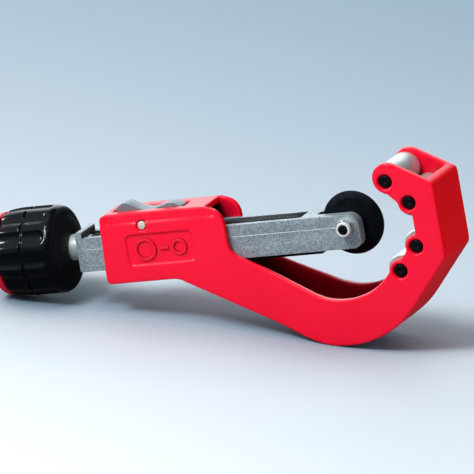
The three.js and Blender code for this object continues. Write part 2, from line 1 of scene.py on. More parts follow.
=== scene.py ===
"""Looks for the telescopic pipe cutter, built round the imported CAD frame.

Shapes are drawn in the tool's own axes, in millimetres: X along the feed screw towards the
jaw, Y across the tool, Z up, with zero at the cutting wheel's axle. TOOL places them.
"""

import json
from math import ceil, cos, hypot, pi, radians, sin, tau

import bmesh
import bpy
from mathutils import Matrix, Vector


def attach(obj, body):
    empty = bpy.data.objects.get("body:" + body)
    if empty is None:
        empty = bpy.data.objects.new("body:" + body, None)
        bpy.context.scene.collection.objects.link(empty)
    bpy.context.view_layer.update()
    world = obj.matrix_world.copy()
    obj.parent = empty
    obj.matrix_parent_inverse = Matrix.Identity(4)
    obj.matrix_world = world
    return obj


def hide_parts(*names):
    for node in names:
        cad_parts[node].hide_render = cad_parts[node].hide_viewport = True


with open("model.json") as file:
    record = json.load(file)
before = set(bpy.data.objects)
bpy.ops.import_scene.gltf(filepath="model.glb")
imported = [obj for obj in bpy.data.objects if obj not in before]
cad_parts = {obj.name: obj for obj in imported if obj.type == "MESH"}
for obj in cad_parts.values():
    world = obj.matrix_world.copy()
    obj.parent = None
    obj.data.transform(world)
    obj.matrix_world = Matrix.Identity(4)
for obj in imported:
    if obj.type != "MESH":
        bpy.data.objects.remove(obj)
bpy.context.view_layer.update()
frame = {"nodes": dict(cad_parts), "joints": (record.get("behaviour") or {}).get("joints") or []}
MM = 0.001

# ------------------------------------------------------------------ the tool's axes


def joint(name):
    """The frame's record of one joint."""
    return next(j for j in frame["joints"] if j["name"] == name)


def tool_matrix():
    """From the tool's axes to the frame's, in metres."""
    along = Vector(joint("slide_feed")["axis"]).normalized()
    across = Vector((0, 1, 0))
    up = along.cross(across)
    turn = Matrix((along, across, up)).transposed().to_4x4()
    return Matrix.Translation(joint("wheel_spin")["pos_m"]) @ turn


TOOL = tool_matrix()
TO_TOOL = TOOL.inverted()


def span(node):
    """Lowest and highest corners of a CAD node in the tool's axes, in millimetres."""
    points = [TO_TOOL @ v.co / MM for v in frame["nodes"][node].data.vertices]
    low = Vector(min(p[i] for p in points) for i in range(3))
    high = Vector(max(p[i] for p in points) for i in range(3))
    return low, high


def middle(node):
    """The middle of a CAD node's box in the tool's axes, in millimetres."""
    low, high = span(node)
    return (low + high) / 2


# ------------------------------------------------------------------ material helpers


class Look:
    """A Principled material with short calls for the nodes that give it detail."""

    def __init__(self, name, color, roughness, metallic=0.0, **inputs):
        self.material = bpy.data.materials.new(name)
        self.material.use_nodes = True
        self.nodes = self.material.node_tree.nodes
        self.links = self.material.node_tree.links
        self.shader = self.nodes["Principled BSDF"]
        self.shader.inputs["Base Color"].default_value = (*color, 1)
        self.shader.inputs["Roughness"].default_value = roughness
        self.shader.inputs["Metallic"].default_value = metallic
        for key, value in inputs.items():
            self.shader.inputs[key.replace("_", " ")].default_value = value
        level = self.nodes.new("ShaderNodeMapping")
        level.inputs["Rotation"].default_value = TO_TOOL.to_euler()
        self.links.new(self.nodes.new("ShaderNodeTexCoord").outputs["Object"], level.inputs["Vector"])
        self.coords = level.outputs["Vector"]
        self.height = None

    def stretched(self, scale):
        mapping = self.nodes.new("ShaderNodeMapping")
        mapping.inputs["Scale"].default_value = scale
        self.links.new(self.coords, mapping.inputs["Vector"])
        return mapping.outputs["Vector"]

    def noise(self, per_mm, detail, roughness=0.55, stretch=(1, 1, 1)):
        node = self.nodes.new("ShaderNodeTexNoise")
        node.inputs["Scale"].default_value = per_mm / MM
        node.inputs["Detail"].default_value = detail
        node.inputs["Roughness"].default_value = roughness
        self.links.new(self.stretched(stretch), node.inputs["Vector"])
        return node.outputs["Fac"]

    def span_of(self, value, from_range, to_range):
        node = self.nodes.new("ShaderNodeMapRange")
        for key, number in zip(("From Min", "From Max", "To Min", "To Max"), (*from_range, *to_range)):
            node.inputs[key].default_value = number
        self.links.new(value, node.inputs["Value"])
        return node.outputs["Result"]

    def facing(self, direction):
        """The cosine between the surface's normal and a direction."""
        node = self.nodes.new("ShaderNodeVectorMath")
        node.operation = "DOT_PRODUCT"
        node.inputs[1].default_value = direction
        self.links.new(self.nodes.new("ShaderNodeNewGeometry").outputs["Normal"], node.inputs[0])
        return node.outputs["Value"]

    def sum_of(self, first, second):
        node = self.nodes.new("ShaderNodeMath")
        self.links.new(first, node.inputs[0])
        self.links.new(second, node.inputs[1])
        return node.outputs["Value"]

    def mixed(self, fac, first, second):
        node = self.nodes.new("ShaderNodeMix")
        node.data_type = "RGBA"
        self.links.new(fac, node.inputs["Factor"])
        for socket, color in ((node.inputs["A"], first), (node.inputs["B"], second)):
            if isinstance(color, tuple):
                socket.default_value = (*color, 1)
            else:
                self.links.new(color, socket)
        return node.outputs["Result"]

    def edges(self, radius_mm):
        """1 on convex edges and 0 on open faces, from a small bevel's normal."""
        bevel = self.nodes.new("ShaderNodeBevel")
        bevel.samples = 4
        bevel.inputs["Radius"].default_value = radius_mm * MM
        geometry = self.nodes.new("ShaderNodeNewGeometry")
        dot = self.nodes.new("ShaderNodeVectorMath")
        dot.operation = "DOT_PRODUCT"
        self.links.new(bevel.outputs["Normal"], dot.inputs[0])
        self.links.new(geometry.outputs["Normal"], dot.inputs[1])
        return self.span_of(dot.outputs["Value"], (0.75, 0.99), (1, 0))

    def shaded(self, color, shade_in_hollows, reach_mm, from_range, only_own=True):
        """Painted shade: the colour going over to another one where the surface is hemmed in."""
        node = self.nodes.new("ShaderNodeAmbientOcclusion")
        node.samples = 8
        node.only_local = only_own
        node.inputs["Distance"].default_value = reach_mm * MM
        return self.mixed(self.span_of(node.outputs["AO"], from_range, (0, 1)), shade_in_hollows, color)

    def bump(self, value, depth_mm, strength):
        node = self.nodes.new("ShaderNodeBump")
        node.inputs["Distance"].default_value = depth_mm * MM
        node.inputs["Strength"].default_value = strength
        self.links.new(value, node.inputs["Height"])
        if self.height:
            self.links.new(self.height, node.inputs["Normal"])
        self.height = node.outputs["Normal"]
        self.links.new(self.height, self.shader.inputs["Normal"])

    def set(self, name, value):
        self.links.new(value, self.shader.inputs[name])


TOWARDS_JAW = TOOL.to_3x3().col[0]
# Tones of the red paint: light and dark are its own uneven tones; the others are painted shade on faces
# towards the jaw, in corners and in hollows, and a painted highlight on edges.
RED_TONES = {
    "light": (0.94, 0.003, 0.034),
    "dark": (0.84, 0.002, 0.026),
    "shade_facing_jaw": (0.86, 0.001, 0.006),
    "highlight_on_edges": (0.96, 0.06, 0.12),
    "shade_in_corners": (0.32, 0.001, 0.012),
    "shade_in_hollows": (0.01, 0.001, 0.002),
}
RED_SHINE = (0.22, 0.06)            # on open faces, and on faces towards the jaw
# Painted shade for the castings' slots and hollows
ALLOY_SHADE = (0.006, 0.007, 0.008)
# Painted shade for the turned parts' tight corners
STEEL_SHADE = (0.05, 0.055, 0.06)
BARE_STEEL = (0.3, 0.31, 0.33)


def red_paint():
    """Powder coat with uneven gloss and a faint orange peel. Painted shade: deeper and duller on faces
    towards the jaw, darker in corners and near black in deep hollows; a painted highlight on convex edges.
    """
    look = Look("red_paint", RED_TONES["light"], 0.3, Specular_IOR_Level=RED_SHINE[0])
    cloud = look.noise(0.035, detail=2)
    clouded = look.mixed(cloud, RED_TONES["light"], RED_TONES["dark"])
    # Painted shade: faces towards the jaw, which the lamps leave in shade, go darker, lose their blue and
    # shine less.
    jaw_shade_mask = look.span_of(look.facing(TOWARDS_JAW), (0.5, 0.85), (0, 1))
    tone = look.mixed(jaw_shade_mask, clouded, RED_TONES["shade_facing_jaw"])
    look.set("Specular IOR Level", look.span_of(jaw_shade_mask, (0, 1), RED_SHINE))
    # Painted highlight: convex edges go lighter and pinker.
    edge_highlight = look.span_of(look.edges(0.5), (0, 1), (0, 0.35))
    wear_and_sheen = look.mixed(edge_highlight, tone, RED_TONES["highlight_on_edges"])
    # Painted shade in corners and creases, within 1.6 mm.
    corner_shaded = look.shaded(wear_and_sheen, RED_TONES["shade_in_corners"], 1.6, (0.45, 0.85))
    # Painted shade: deep hollows, such as the channel under the slide, go near black.
    look.set("Base Color", look.shaded(corner_shaded, RED_TONES["shade_in_hollows"], 45, (0.3, 0.62)))
    look.set("Roughness", look.span_of(look.noise(0.1, detail=3), (0.3, 0.7), (0.27, 0.33)))
    look.bump(look.noise(0.25, detail=1), 0.012, 0.3)
    look.bump(look.noise(3.5, detail=2), 0.004, 0.35)
    return look.material


def cast_alloy(name, light, dark, roughness):
    """Blasted die casting: fine speckle, a sparse dark pit here and there, and painted shade in its slots
    and hollows.
    """
    look = Look(name, light, roughness, 0.35)
    grain = look.noise(1.0, detail=5, roughness=0.8)
    cloud = look.noise(0.12, detail=3)
    speckled = look.mixed(look.span_of(grain, (0.4, 0.6), (1, 0)), light, dark)
    tinted = look.mixed(look.span_of(cloud, (0.4, 0.75), (0, 0.5)), speckled, dark)
    # Painted shade: slots and hollows within 16 mm go near black.
    look.set("Base Color", look.shaded(tinted, ALLOY_SHADE, 16, (0.68, 0.985)))
    look.set("Roughness", look.span_of(grain, (0.3, 0.7), (roughness + 0.12, roughness - 0.06)))
    look.bump(grain, 0.05, 0.6)
    return look.material


def turned_steel(name, color, roughness, along, streak=0.5, metallic=1.0):
    """Machined steel with fine marks that run round the axis it was turned on, and painted shade in its
    tight corners.
    """
    stretch = tuple(1.0 if axis == along else 0.03 for axis in "XYZ")
    look = Look(name, color, roughness, metallic)
    marks = look.noise(6.0, detail=3, stretch=stretch)
    wear_and_sheen = look.noise(0.3, detail=4)
    darker = tuple(c * 0.82 for c in color)
    clouded = look.mixed(look.span_of(wear_and_sheen, (0.35, 0.7), (0, 1)), color, darker)
    # Painted shade in corners within 1.5 mm.
    look.set("Base Color", look.shaded(clouded, STEEL_SHADE, 1.5, (0.4, 0.9)))
    look.set("Roughness", look.span_of(marks, (0.3, 0.7), (roughness * 0.8, roughness * 1.35)))
    look.bump(marks, 0.008, streak)
    return look.material


def black_oxide(name, color, roughness):
    """Oil-blacked steel that shows a little bare metal on its edges."""
    look = Look(name, color, roughness, 0.75)
    patch = look.noise(0.5, detail=4)
    wear_and_sheen = look.edges(0.25)
    paler = tuple(c * 1.7 for c in color)
    base = look.mixed(look.span_of(patch, (0.4, 0.75), (0, 0.7)), color, paler)
    look.set("Base Color", look.mixed(look.span_of(wear_and_sheen, (0, 1), (0, 0.35)), base, BARE_STEEL))
    look.set("Roughness", look.span_of(patch, (0.3, 0.7), (roughness * 0.85, roughness * 1.2)))
    look.bump(look.noise(4.0, detail=3), 0.008, 0.5)
    return look.material


def moulded_plastic(name, color, roughness, shine):
    """Glossy moulding with soft sink marks and tiny scratches; matt on faces towards the jaw."""
    look = Look(name, color, roughness, 0.0, Specular_IOR_Level=shine)
    scratch = look.noise(1.6, detail=6, roughness=0.7, stretch=(0.25, 1, 1))
    gloss = look.span_of(scratch, (0.35, 0.7), (roughness * 0.8, roughness * 1.5))
    matt = look.span_of(look.facing(TOWARDS_JAW), (0.55, 0.75), (0, 0.45))
    look.set("Roughness", look.sum_of(gloss, matt))
    look.bump(look.noise(0.08, detail=1), 0.12, 0.5)
    look.bump(scratch, 0.004, 0.4)
    return look.material


RED = red_paint()
CAST = cast_alloy("cast_alloy", (0.46, 0.55, 0.6), (0.18, 0.23, 0.26), 0.42)
LEVER_CAST = cast_alloy("lever_alloy", (0.27, 0.34, 0.38), (0.14, 0.18, 0.2), 0.36)
ROLLER_STEEL = turned_steel("roller_steel", (0.62, 0.69, 0.69), 0.33, "Y", 0.4, 0.55)
PIN_STEEL = turned_steel("pin_steel", (0.85, 0.78, 0.7), 0.4, "Y", 0.2, 0.35)
ZINC = turned_steel("zinc_steel", (0.42, 0.47, 0.48), 0.42, "X", 0.2, 0.3)
NUT_ZINC = turned_steel("nut_zinc", (0.6, 0.65, 0.68), 0.22, "Y", 0.15, 0.85)
# A paler copy of the nut's zinc for its collar: a painted highlight
HIGHLIT_ZINC = turned_steel("zinc_painted_highlight", (0.9, 0.94, 0.95), 0.3, "Y", 0.1, 0.3)
# A paler copy of the slide's alloy for its parting lines: a painted highlight along them
HIGHLIT_ALLOY = cast_alloy("alloy_painted_highlight", (0.62, 0.68, 0.72), (0.45, 0.5, 0.54), 0.35)
SPRING_STEEL = turned_steel("spring_steel", (0.45, 0.47, 0.5), 0.3, "Y")
BRONZE = turned_steel("bronze", (0.5, 0.32, 0.13), 0.3, "X")
BLACK = black_oxide("black_steel", (0.008, 0.009, 0.011), 0.38)
WHEEL_BLACK = black_oxide("wheel_steel", (0.005, 0.007, 0.011), 0.34)
BLACK_PLASTIC = moulded_plastic("black_plastic", (0.002, 0.003, 0.004), 0.1, 0.22)
RED_PLASTIC = moulded_plastic("red_plastic", (0.8, 0.004, 0.03), 0.26, 0.35)

# ------------------------------------------------------------------ mesh helpers

WELD_MM = 1e-5          # drawn points closer than this are one point
CAD_WELD_MM = 1e-3      # the same for the points of a CAD node
CAD_FLAT_DEG = 0.5      # CAD faces that meet at less than this are merged


def piece(name, mesh, body, material, nodes, sharp=40):
    """Adds a mesh drawn in tool millimetres as a piece that stands for CAD nodes."""
    mesh.transform(TOOL @ Matrix.Scale(MM, 4))
    obj = bpy.data.objects.new(name, mesh)
    bpy.context.scene.collection.objects.link(obj)
    mesh.materials.clear()
    mesh.materials.append(material)
    mesh.shade_smooth()
    mesh.set_sharp_from_angle(angle=radians(sharp))
    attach(obj, body)
    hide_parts(*nodes)


def mesh_of(points, faces):
    """A mesh with its doubled points merged and its faces turned outwards."""
    mesh = bpy.data.meshes.new("shape")
    mesh.from_pydata([tuple(p) for p in points], [], faces)
    work = bmesh.new()
    work.from_mesh(mesh)
    bmesh.ops.remove_doubles(work, verts=work.verts, dist=WELD_MM)
    bmesh.ops.recalc_face_normals(work, faces=work.faces)
    work.to_mesh(mesh)
    work.free()
    return mesh


def turned(profile, along, centre=(0, 0, 0), segments=96):
    """A profile of (radius, distance) points turned about an axis; ends on the axis or closed."""
    points, faces = [], []
    count = len(profile)
    for k in range(segments):
        angle = tau * k / segments
        for r, d in profile:
            a, b = r * cos(angle), r * sin(angle)
            local = {"X": (d, a, b), "Y": (b, d, a), "Z": (a, b, d)}[along]
            points.append(Vector(local) + Vector(centre))
    for k in range(segments):
        here, there = k * count, (k + 1) % segments * count
        for i in range(count - 1):
            if profile[i][0] == 0 and profile[i + 1][0] == 0:
                continue
            faces.append((here + i, here + i + 1, there + i + 1, there + i))
    return mesh_of(points, faces)


def softened(profile, radius, steps=3):
    """The same (radius, distance) profile with each of its corners off the axis rounded."""
    closed = profile[0] == profile[-1]
    corners = profile[:-1] if closed else profile
    count = len(corners)
    result = []
    for i, here in enumerate(corners):
        here = Vector(here)
        if not closed and i in (0, count - 1):
            result.append(tuple(here))
            continue
        back = Vector(corners[i - 1]) - here
        ahead = Vector(corners[(i + 1) % count]) - here
        reach = min(radius, back.length * 0.45, ahead.length * 0.45)
        start, end = here + back.normalized() * reach, here + ahead.normalized() * reach
        for k in range(steps + 1):
            t = k / steps
            result.append(tuple(start.lerp(here, t).lerp(here.lerp(end, t), t)))
    if closed:
        result.append(result[0])
    return result


def solid_rod(radius, low, high):
    return [(0, low), (radius, low), (radius, high), (0, high)]


def ring(inner, outer, low, high):
    return [(inner, low), (outer, low), (outer, high), (inner, high), (inner, low)]


def joined(*meshes):
    """Several meshes as the separate shells of one mesh."""
    work = bmesh.new()
    for mesh in meshes:
        work.from_mesh(mesh)
    result = bpy.data.meshes.new("joined")
    work.to_mesh(result)
    work.free()
    return result


def cad_copy(node):
    """A CAD node's shape in tool millimetres, with its flat faces merged."""
    mesh = frame["nodes"][node].data.copy()
    mesh.transform(Matrix.Scale(1 / MM, 4) @ TO_TOOL)
    work = bmesh.new()
    work.from_mesh(mesh)
    bmesh.ops.remove_doubles(work, verts=work.verts, dist=CAD_WELD_MM)
    bmesh.ops.dissolve_limit(work, angle_limit=radians(CAD_FLAT_DEG), verts=work.verts,
                             edges=work.edges)
    work.to_mesh(mesh)
    work.free()
    return mesh


def modified(mesh, *modifiers):
    """The mesh after a chain of modifiers, each given as (type, {setting: value})."""
    return evaluated(bpy.data.objects.new("work", mesh), *modifiers)


def evaluated(obj, *modifiers):
    """The object's mesh after the modifiers; the object itself is removed."""
    bpy.context.scene.collection.objects.link(obj)
    for kind, settings in modifiers:
        modifier = obj.modifiers.new(kind.lower(), kind)
        for key, value in settings.items():
            setattr(modifier, key, value)
    bpy.context.view_layer.update()
    depsgraph = bpy.context.evaluated_depsgraph_get()
    result = bpy.data.meshes.new_from_object(obj.evaluated_get(depsgraph))
    bpy.data.objects.remove(obj)
    return result


def bevelled(mesh, width, segments=3):
    """The mesh with every edge sharper than 30 degrees rounded over."""
    settings = {"width": width, "segments": segments, "angle_limit": radians(30)}
    return modified(mesh, ("BEVEL", {**settings, "use_clamp_overlap": True}))


def refined(node, body, material, width=0.25, segments=3):
    """A piece with the CAD node's own shape and rounded edges."""
    mesh = bevelled(cad_copy(node), width, segments)
    piece(node + "_fine", mesh, body, material, [node])


def box_mesh(low, high):
    mesh = bpy.data.meshes.new("box")
    work = bmesh.new()
    bmesh.ops.create_cube(work, size=1)
    low, high = Vector(low), Vector(high)
    for v in work.verts:
        v.co = (low + high) / 2 + Vector(a * b for a, b in zip(v.co, high - low))
    work.to_mesh(mesh)
    work.free()
    return mesh


def swept(path, radius, around=12):
    """A round wire along a path of points, closed at both ends."""
    path = [Vector(p) for p in path]
    points, faces = [], []
    side = Vector((0, 1, 0))
    for i, p in enumerate(path):
        ahead = (path[min(i + 1, len(path) - 1)] - path[max(i - 1, 0)]).normalized()
        u = side.cross(ahead).normalized()
        w = ahead.cross(u)
        for k in range(around):
            angle = tau * k / around
            points.append(p + (u * cos(angle) + w * sin(angle)) * radius)
    for i in range(len(path) - 1):
        for k in range(around):
            a, b = i * around + k, i * around + (k + 1) % around
            faces.append((a, b, b + around, a + around))
    last = (len(path) - 1) * around
    faces.append(tuple(range(around)))
    faces.append(tuple(last + k for k in reversed(range(around))))
    return mesh_of(points, faces)


def skinned(rows, around, closed=False):
    """Rings of points about X, given as (x, radius at an angle), skinned one after another."""
    points, faces = [], []
    for x, radius_at in rows:
        for k in range(around):
            angle = tau * k / around
            radius = radius_at(angle)
            points.append((x, radius * cos(angle), radius * sin(angle)))
    for i in range(len(rows) if closed else len(rows) - 1):
        here, ahead = i * around, (i + 1) % len(rows) * around
        for k in range(around):
            after = (k + 1) % around
            faces.append((here + k, here + after, ahead + after, ahead + k))
    return mesh_of(points, faces)


def plain(x, radius):
    """A round row for skinned()."""
    return (x, lambda angle: radius)


def smoothstep(low, high, value):
    t = min(max((value - low) / (high - low), 0), 1)
    return t * t * (3 - 2 * t)


# ------------------------------------------------------------------ frame casting

VOXEL = 0.48                # of the remesh that lets the casting's edges be rounded
ROUNDING = {"passes": 14, "near_panel": 0.15, "panel_margin": 2}
FLAT_DEG = 0.2              # faces that meet at less than this are merged
EVEN_OUT_PASSES = 2
SIDES = {"inner": 11.6, "outer": 13.5}      # |y| within which the housing's sides lie
CREASE = {"z": 11.9, "depth": 1.1, "width": 0.5, "rear": -127, "front": -66, "fades_over": 3}
PANEL = {"rear": -116.3, "front": -80.5, "bottom": -9.5, "top": 6.5, "corner": 3}
PANEL_SINK = {"depth": 0.4, "slope": 0.5}
RIM = {"margin": 0.9, "slope": 0.4, "depth": 1, "fades_over": 3}    # sunk round each pin's end
MARKS = {"z": -1.6, "stroke": 1.4, "corner": 0.3}
MARKS_ACROSS = {"panel": 12.1, "top": 12.9, "root": 0.5}    # |y| of the panel and of the marks' tops
RING_MARKS = {-88.5: 3.4, -106.5: 5}        # the radius of each ring by its place along X
DASH_MARK = (-98.6, -94.2)                  # from and to, along X


def inside_panel(x, z):
    """How far a point of the housing's side lies inside the panel's rounded outline."""
    corner = PANEL["corner"]
    half_x = (PANEL["front"] - PANEL["rear"]) / 2 - corner
    half_z = (PANEL["top"] - PANEL["bottom"]) / 2 - corner
    dx = abs(x - (PANEL["front"] + PANEL["rear"]) / 2) - half_x
    dz = abs(z - (PANEL["top"] + PANEL["bottom"]) / 2) - half_z
    return corner - hypot(max(dx, 0), max(dz, 0)) - min(max(dx, dz), 0)


def on_housing_side(x, y):
    return CREASE["rear"] < x < CREASE["front"] and SIDES["inner"] < abs(y) < SIDES["outer"]


def press_sides(mesh):
    """Sinks the panels and the rims of the pins' holes, and steps the band above the crease in."""
    pins = [span(node) for node in ("release_pin", *(f"roller_pin_{i}" for i in range(1, 5)))]
    rims = [((low + high) / 2, high.y, (high.x - low.x) / 2 + RIM["margin"]) for low, high in pins]
    for v in mesh.vertices:
        x, y, z = v.co
        if abs(y) < SIDES["inner"]:
            continue
        press = 0
        for pin, end, r in rims:
            depth = RIM["depth"] * smoothstep(end - RIM["fades_over"], end, abs(y))
            press += depth * smoothstep(r, r - RIM["slope"], hypot(x - pin.x, z - pin.z))
        if on_housing_side(x, y):
            ends = smoothstep(0, CREASE["fades_over"], min(x - CREASE["rear"], CREASE["front"] - x))
            press += CREASE["depth"] * smoothstep(0, CREASE["width"], z - CREASE["z"]) * ends
            press += PANEL_SINK["depth"] * smoothstep(0, PANEL_SINK["slope"], inside_panel(x, z))
        v.co.y -= press * (1 if y > 0 else -1)


def panel_marks():
    """Raised marks in the near panel: a small ring, a dash and a large ring."""
    half = MARKS["stroke"] / 2
    top, root = -MARKS_ACROSS["top"], MARKS_ACROSS["root"] - MARKS_ACROSS["panel"]
    z = MARKS["z"]
    marks = []
    for x, radius in RING_MARKS.items():
        band = softened(ring(radius - half, radius + half, top, root), MARKS["corner"])
        marks.append(turned(band, "Y", (x, 0, z), segments=64))
    dash = box_mesh((DASH_MARK[0], top, z - half), (DASH_MARK[1], root, z + half))
    marks.append(bevelled(dash, MARKS["corner"]))
    return marks


def smoothed(mesh, passes, weight_at):
    """The mesh with its corners relaxed, each vertex by its own weight."""
    obj = bpy.data.objects.new("work", mesh)
    group = obj.vertex_groups.new(name="soft")
    for v in mesh.vertices:
        group.add([v.index], weight_at(v.co), "REPLACE")
    return evaluated(obj, ("SMOOTH", {"factor": 0.5, "iterations": passes, "vertex_group": "soft"}))


def rounding_weight(point):
    near = inside_panel(point.x, point.z) > -ROUNDING["panel_margin"]
    return ROUNDING["near_panel"] if near and on_housing_side(point.x, point.y) else 1


def even_out_weight(point):
    return 0 if on_housing_side(point.x, point.y) else 1


def frame_casting():
    voxels = modified(cad_copy("frame_casting"), ("REMESH", {"mode": "VOXEL", "voxel_size": VOXEL}))
    rounded = smoothed(voxels, ROUNDING["passes"], rounding_weight)
    press_sides(rounded)
    merging = {"decimate_type": "DISSOLVE", "angle_limit": radians(FLAT_DEG)}
    merged = modified(rounded, ("DECIMATE", merging), ("TRIANGULATE", {}))
    even = smoothed(merged, EVEN_OUT_PASSES, even_out_weight)
    whole = joined(even, *panel_marks())
    piece("frame_casting_fine", whole, "frame", RED, ["frame_casting"], sharp=180)


# ------------------------------------------------------------------ rollers and pins

ROLLER = {"bore_r": 3.35, "corner": 0.7}
ROLLER_PIN = {"dimple_r": 1.1, "dimple_depth": 0.5, "corner": 0.45}


def rollers():
    for i in range(1, 5):
        low, high = span(f"roller_{i}")
        centre = (low + high) / 2
        place = (centre.x, 0, centre.z)
        shell = ring(ROLLER["bore_r"], (high.x - low.x) / 2, low.y, high.y)
        shell = turned(softened(shell, ROLLER["corner"], 4), "Y", place)
        piece(f"roller_{i}_fine", shell, f"roller_{i}", ROLLER_STEEL, [f"roller_{i}"])

        low, high = span(f"roller_pin_{i}")
        r, dimple_r, depth = (high.x - low.x) / 2, ROLLER_PIN["dimple_r"], ROLLER_PIN["dimple_depth"]
        profile = [(0, low.y + depth), (dimple_r, low.y), (r, low.y),
                   (r, high.y), (dimple_r, high.y), (0, high.y - depth)]
        pin = turned(softened(profile, ROLLER_PIN["corner"], 4), "Y", place, 64)
        piece(f"roller_pin_{i}_fine", pin, "frame", BLACK, [f"roller_pin_{i}"])


# ------------------------------------------------------------------ slide

SLIDE_EDGE = 0.55
FLASH = {"from_rear": 4, "from_front": 12, "half_width": 0.4, "proud": 0.18, "root": 0.3}
COLLAR = {"bore_r": 4.2, "corner": 0.8}
BUSH = {"bore_r": 3.3, "corner": 0.3}
STRIP_SCREW = {"head": 1.2, "shank_r": 1.2, "socket_r": 1.1, "socket_depth": 0.7, "corner": 0.12}


def parting_line(side):
    """The thin flash left where the two halves of the slide's die met."""
    low, high = span("slide_casting")
    face = side * high.y
    root, proud = face - side * FLASH["root"], face + side * FLASH["proud"]
    section = [(root, -FLASH["half_width"]), (proud, 0), (root, FLASH["half_width"])]
    ends = (low.x + FLASH["from_rear"], high.x - FLASH["from_front"])
    points = [(x, *yz) for x in ends for yz in section]
    return mesh_of(points, [(0, 1, 2), (3, 5, 4), (0, 3, 4, 1), (1, 4, 5, 2), (2, 5, 3, 0)])


def slide():
    body = bevelled(cad_copy("slide_casting"), SLIDE_EDGE, 4)
    piece("slide_casting_fine", body, "slide", CAST, ["slide_casting"], sharp=35)
    flash = joined(parting_line(-1), parting_line(1))
    # The flash is drawn in a paler alloy than the slide: a painted highlight along the parting line.
    piece("slide_parting_lines", flash, "slide", HIGHLIT_ALLOY, [], sharp=35)
    refined("slide_strip", "slide", BLACK, 0.3)
    for i in (1, 2):
        strip_screw(i)
    low, high = span("rear_collar")
    collar = ring(COLLAR["bore_r"], (high.y - low.y) / 2, low.x, high.x)
    collar = turned(softened(collar, COLLAR["corner"], 4), "X")
    piece("rear_collar_fine", collar, "slide", ZINC, ["rear_collar"])
    low, high = span("front_bush")
    bush = ring(BUSH["bore_r"], (high.y - low.y) / 2, low.x, high.x)
    bush = turned(softened(bush, BUSH["corner"]), "X", segments=64)
    piece("front_bush_fine", bush, "slide", BRONZE, ["front_bush"])


def strip_screw(i):
    """A countersunk screw with a round socket, seen from under the strip."""
    low, high = span(f"strip_screw_{i}")
    centre = (low + high) / 2
    head_r, shank_r = (high.x - low.x) / 2, STRIP_SCREW["shank_r"]
    socket_r, socket_floor = STRIP_SCREW["socket_r"], low.z + STRIP_SCREW["socket_depth"]
    profile = [(0, socket_floor), (socket_r, socket_floor), (socket_r, low.z), (head_r, low.z),
               (shank_r, low.z + STRIP_SCREW["head"]), (shank_r, high.z), (0, high.z)]
    screw = turned(softened(profile, STRIP_SCREW["corner"]), "Z", (centre.x, 0, 0), 48)
    piece(f"strip_screw_{i}_fine", screw, "slide", BLACK, [f"strip_screw_{i}"])


# ------------------------------------------------------------------ cutting wheel and axle

WHEEL = {"bore_r": 2.7, "hub_r": 5, "foot_r": 5.5, "web": 1.1, "bevel_r": 12.2, "corner": 0.18}
WHEEL_EDGE = {"width": 0.05, "half": 0.1}
HEX = {"flats": 8, "chamfer": 0.5, "turned_share": 0.98, "start_angle": 0.35, "steps_a_side": 8}
AXLE = {"shank_r": 2.4, "head_gap": 0.3, "overlap": 1, "corner": 0.35}
NUT = {"bore_r": 2.45, "collar_r": 3.6, "collar": 1.7, "overlap": 0.5, "corner": 0.35}
AXLE_WASHER = {"bore_r": 2.7, "corner": 0.15}


def cutting_wheel():
    low, high = span("cutting_wheel")
    r, hub, web = (high.x - low.x) / 2, high.y, WHEEL["web"]
    half = [(WHEEL["bore_r"], hub), (WHEEL["hub_r"], hub), (WHEEL["foot_r"], web),
            (WHEEL["bevel_r"], web), (r - WHEEL_EDGE["width"], WHEEL_EDGE["half"])]
    other = [(radius, -y) for radius, y in reversed(half)]
    profile = half + [(r, 0)] + other + [half[0]]
    wheel = turned(softened(profile, WHEEL["corner"], 2), "Y", segments=160)
    piece("cutting_wheel_fine", wheel, "wheel", WHEEL_BLACK, ["cutting_wheel"], sharp=30)


def hexagon(low, high):
    """A hexagonal prism along Y whose corners are turned off at both ends."""
    flat_r = HEX["flats"] / 2
    turned_r = flat_r * HEX["turned_share"]
    levels = [(low, turned_r), (low + HEX["chamfer"], None), (high - HEX["chamfer"], None),
              (high, turned_r)]
    count = 6 * HEX["steps_a_side"]
    points, faces = [], []
    for y, limit in levels:
        for k in range(count):
            angle = tau * k / count
            from_flat = (angle + pi / 6) % (pi / 3) - pi / 6
            r = flat_r / cos(from_flat)
            r = min(r, limit) if limit else r
            points.append((r * sin(angle + HEX["start_angle"]), y, r * cos(angle + HEX["start_angle"])))
    for level in range(len(levels) - 1):
        for k in range(count):
            a, b = level * count + k, level * count + (k + 1) % count
            faces.append((a, b, b + count, a + count))
    faces.append(tuple(range(count)))
    faces.append(tuple(reversed(range(3 * count, 4 * count))))
    return mesh_of(points, faces)


